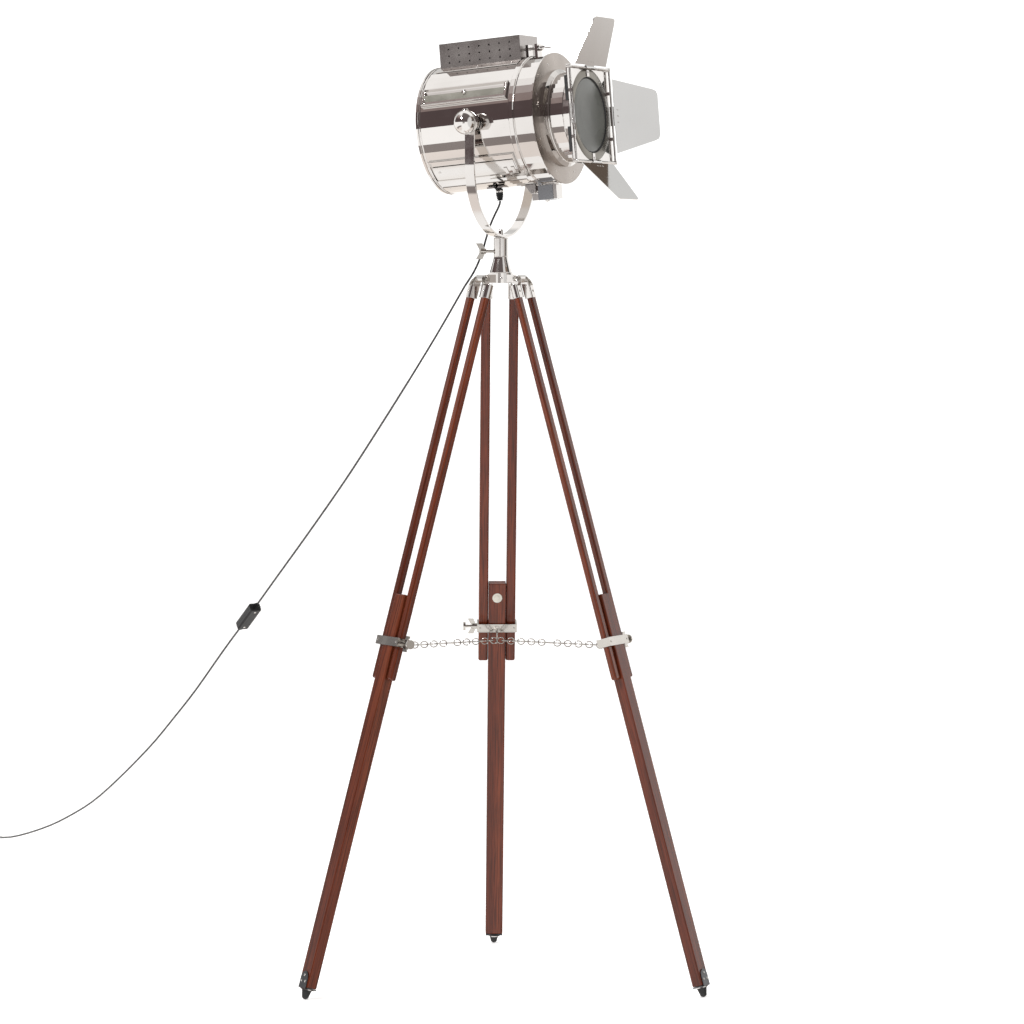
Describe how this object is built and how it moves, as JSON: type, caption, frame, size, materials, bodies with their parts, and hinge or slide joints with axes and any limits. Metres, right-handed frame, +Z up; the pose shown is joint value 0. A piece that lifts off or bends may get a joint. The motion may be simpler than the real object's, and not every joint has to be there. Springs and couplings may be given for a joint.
{
  "type": "tripod floor lamp",
  "caption": "Searchlight-style floor lamp: drum head with hinged barn leaves in a U yoke on a wooden telescoping tripod, with a corded inline switch.",
  "frame": {"origin": "on the floor, under the middle of the standing lamp's box without its cord", "axes": "+Z up; the lamp looks along +X; the head tilts about Y; the right-hand leg points almost along +X"},
  "size_m": [2.4082, 1.5408, 1.6982],
  "materials": {
    "wood": "dark reddish brown varnished hardwood",
    "cord": "black PVC sheath",
    "rubber": "black moulded rubber",
    "foot_steel": "dark grey steel",
    "plastic": "black moulded plastic",
    "ceramic": "cream ceramic",
    "frosted_glass": "frosted",
    "bulb_glass": "opal",
    "chain_nickel": "polished nickel",
    "leaf_nickel": "polished nickel sheet",
    "hub_nickel": "polished nickel casting",
    "nickel": "polished nickel"
  },
  "bodies": {
    "stand": {"hub": "hub_nickel", "stem": "nickel", "cord_lower": "cord", "switch": "plastic", "coil": "cord", "plug": "plastic"},
    "leg_right": {"leg_right_bracket": "hub_nickel", "leg_right_slat_a": "wood", "leg_right_slat_b": "wood", "leg_right_clamp": "nickel"},
    "leg_right_lower": {"leg_right_plank": "wood", "leg_right_foot_bracket": "foot_steel", "leg_right_foot_tip": "rubber"},
    "leg_right_nut": {"leg_right_wing_nut": "nickel"},
    "leg_back": {"leg_back_bracket": "hub_nickel", "leg_back_slat_a": "wood", "leg_back_slat_b": "wood", "leg_back_clamp": "nickel"},
    "leg_back_lower": {"leg_back_plank": "wood", "leg_back_foot_bracket": "foot_steel", "leg_back_foot_tip": "rubber"},
    "leg_back_nut": {"leg_back_wing_nut": "nickel"},
    "leg_left": {"leg_left_bracket": "hub_nickel", "leg_left_slat_a": "wood", "leg_left_slat_b": "wood", "leg_left_clamp": "nickel"},
    "leg_left_lower": {"leg_left_plank": "wood", "leg_left_foot_bracket": "foot_steel", "leg_left_foot_tip": "rubber"},
    "leg_left_nut": {"leg_left_wing_nut": "nickel"},
    "chain_left_a_half": {"chain_left_a": "chain_nickel"},
    "chain_left_b_half": {"chain_left_b": "chain_nickel"},
    "chain_right_a_half": {"chain_right_a": "chain_nickel"},
    "chain_right_b_half": {"chain_right_b": "chain_nickel"},
    "stem_wing_screw": {"stem_screw": "nickel"},
    "yoke": {"yoke": "nickel", "cord_mid": "cord"},
    "knob_near": {"knob_near": "nickel"},
    "knob_far": {"knob_far": "nickel"},
    "head": {"drum": "nickel", "rear_cap": "nickel", "vent_box": "nickel", "cover_near_upper": "nickel", "cover_near_lower": "nickel", "cover_far_upper": "nickel", "cover_far_lower": "nickel", "reflector": "nickel", "socket": "ceramic", "bulb": "bulb_glass", "gland": "plastic", "cord_upper": "cord"},
    "front": {"front_ring": "nickel", "lens": "frosted_glass"},
    "front_latch_screw": {"latch_screw": "nickel"},
    "barn_frame": {"barn_frame": "nickel"},
    "leaf_top": {"leaf_top": "leaf_nickel"},
    "leaf_bottom": {"leaf_bottom": "leaf_nickel"},
    "leaf_far": {"leaf_far": "leaf_nickel"},
    "leaf_near": {"leaf_near": "leaf_nickel"},
    "rocker": {"rocker": "plastic"}
  },
  "joints": [
    {"name": "fold_right", "type": "hinge", "parent": "stand", "child": "leg_right", "pos_m": [-0.05269, -0.00829, 1.245], "axis": [0.0366, 0.9993, 0], "range_deg": [0, 14]},
    {"name": "extend_right", "type": "slide", "parent": "leg_right", "child": "leg_right_lower", "axis": [0.2791, -0.0102, -0.9602], "range_m": [-0.5, 0.04]},
    {"name": "turn_wing_nut_right", "type": "hinge", "parent": "leg_right", "child": "leg_right_nut", "pos_m": [0.13305, 0.02993, 0.61175], "axis": [0.0366, 0.9993, 0], "continuous": true},
    {"name": "fold_back", "type": "hinge", "parent": "stand", "child": "leg_back", "pos_m": [-0.10815, 0.0265, 1.245], "axis": [-0.8838, -0.4679, 0], "range_deg": [0, 14]},
    {"name": "extend_back", "type": "slide", "parent": "leg_back", "child": "leg_back_lower", "axis": [-0.1307, 0.2469, -0.9602], "range_m": [-0.5, 0.04]},
    {"name": "turn_wing_nut_back", "type": "hinge", "parent": "leg_back", "child": "leg_back_nut", "pos_m": [-0.23412, 0.16825, 0.61175], "axis": [-0.8838, -0.4679, 0], "continuous": true},
    {"name": "fold_left", "type": "hinge", "parent": "stand", "child": "leg_left", "pos_m": [-0.11055, -0.03893, 1.245], "axis": [0.8471, -0.5314, 0], "range_deg": [0, 14]},
    {"name": "extend_left", "type": "slide", "parent": "leg_left", "child": "leg_left_lower", "axis": [-0.1484, -0.2366, -0.9602], "range_m": [-0.5, 0.04]},
    {"name": "turn_wing_nut_left", "type": "hinge", "parent": "leg_left", "child": "leg_left_nut", "pos_m": [-0.17033, -0.21889, 0.61175], "axis": [0.8471, -0.5314, 0], "continuous": true},
    {"name": "hang_chain_left_a", "type": "hinge", "parent": "leg_left", "child": "chain_left_a_half", "pos_m": [-0.19914, -0.18014, 0.6045], "axis": [-0.9993, 0.0366, 0], "range_deg": [0, 77], "deforming": ["chain_left_a"]},
    {"name": "hang_chain_left_b", "type": "hinge", "parent": "leg_back", "child": "chain_left_b_half", "pos_m": [-0.18616, 0.17383, 0.587], "axis": [0.9993, -0.0366, 0], "range_deg": [0, 77], "deforming": ["chain_left_b"]},
    {"name": "hang_chain_right_a", "type": "hinge", "parent": "leg_back", "child": "chain_right_a_half", "pos_m": [-0.18616, 0.17383, 0.587], "axis": [0.5314, 0.8471, 0], "range_deg": [0, 77], "deforming": ["chain_right_a"]},
    {"name": "hang_chain_right_b", "type": "hinge", "parent": "leg_right", "child": "chain_right_b_half", "pos_m": [0.1139, -0.0144, 0.6045], "axis": [-0.5314, -0.8471, 0], "range_deg": [0, 77], "deforming": ["chain_right_b"]},
    {"name": "turn_stem_screw", "type": "hinge", "parent": "stand", "child": "stem_wing_screw", "pos_m": [-0.10829, -0.01598, 1.2933], "axis": [-0.891, -0.454, 0], "continuous": true},
    {"name": "pan", "type": "hinge", "parent": "stand", "child": "yoke", "pos_m": [-0.09047, -0.0069, 1.3], "axis": [0, 0, 1], "range_deg": [-60, 60], "deforming": ["cord_mid"]},
    {"name": "turn_knob_near", "type": "hinge", "parent": "yoke", "child": "knob_near", "pos_m": [-0.09047, -0.1369, 1.515], "axis": [0, -1, 0], "continuous": true},
    {"name": "turn_knob_far", "type": "hinge", "parent": "yoke", "child": "knob_far", "pos_m": [-0.09047, 0.12309, 1.515], "axis": [0, 1, 0], "continuous": true},
    {"name": "tilt", "type": "hinge", "parent": "yoke", "child": "head", "pos_m": [-0.09047, -0.0069, 1.515], "axis": [0, -1, 0], "range_deg": [-35, 40], "deforming": ["cord_upper"]},
    {"name": "open_front", "type": "hinge", "parent": "head", "child": "front", "pos_m": [-0.01997, -0.0069, 1.39797], "axis": [0, 1, 0], "range_deg": [0, 60]},
    {"name": "turn_latch_screw", "type": "hinge", "parent": "front", "child": "front_latch_screw", "pos_m": [-0.01132, -0.0069, 1.64856], "axis": [0.9965, 0, 0.0833], "continuous": true},
    {"name": "turn_barn_frame", "type": "hinge", "parent": "front", "child": "barn_frame", "pos_m": [0.07894, -0.0069, 1.52917], "axis": [0.9965, 0, 0.0833], "continuous": true},
    {"name": "swing_leaf_top", "type": "hinge", "parent": "barn_frame", "child": "leaf_top", "pos_m": [0.0806, -0.0069, 1.61139], "axis": [0, -1, 0], "range_deg": [-60, 29]},
    {"name": "swing_leaf_bottom", "type": "hinge", "parent": "barn_frame", "child": "leaf_bottom", "pos_m": [0.09423, -0.0069, 1.44836], "axis": [0, 1, 0], "range_deg": [-44, 45]},
    {"name": "swing_leaf_far", "type": "hinge", "parent": "barn_frame", "child": "leaf_far", "pos_m": [0.08741, 0.0749, 1.52988], "axis": [-0.0833, 0, 0.9965], "range_deg": [-43, 46]},
    {"name": "swing_leaf_near", "type": "hinge", "parent": "barn_frame", "child": "leaf_near", "pos_m": [0.08741, -0.08871, 1.52988], "axis": [0.0833, 0, -0.9965], "range_deg": [-58, 32]},
    {"name": "rock_switch", "type": "hinge", "parent": "stand", "child": "rocker", "pos_m": [-0.87954, 0.47477, 0.59097], "axis": [-0.5484, -0.8362, 0], "range_deg": [0, 7]}
  ],
  "couplings": [
    {"joint": "fold_back", "follows": "fold_right", "ratio": 1},
    {"joint": "fold_left", "follows": "fold_right", "ratio": 1},
    {"joint": "hang_chain_left_a", "follows": "fold_right", "ratio": 5.45},
    {"joint": "hang_chain_left_b", "follows": "fold_right", "ratio": 5.45},
    {"joint": "hang_chain_right_a", "follows": "fold_right", "ratio": 5.45},
    {"joint": "hang_chain_right_b", "follows": "fold_right", "ratio": 5.45}
  ]
}
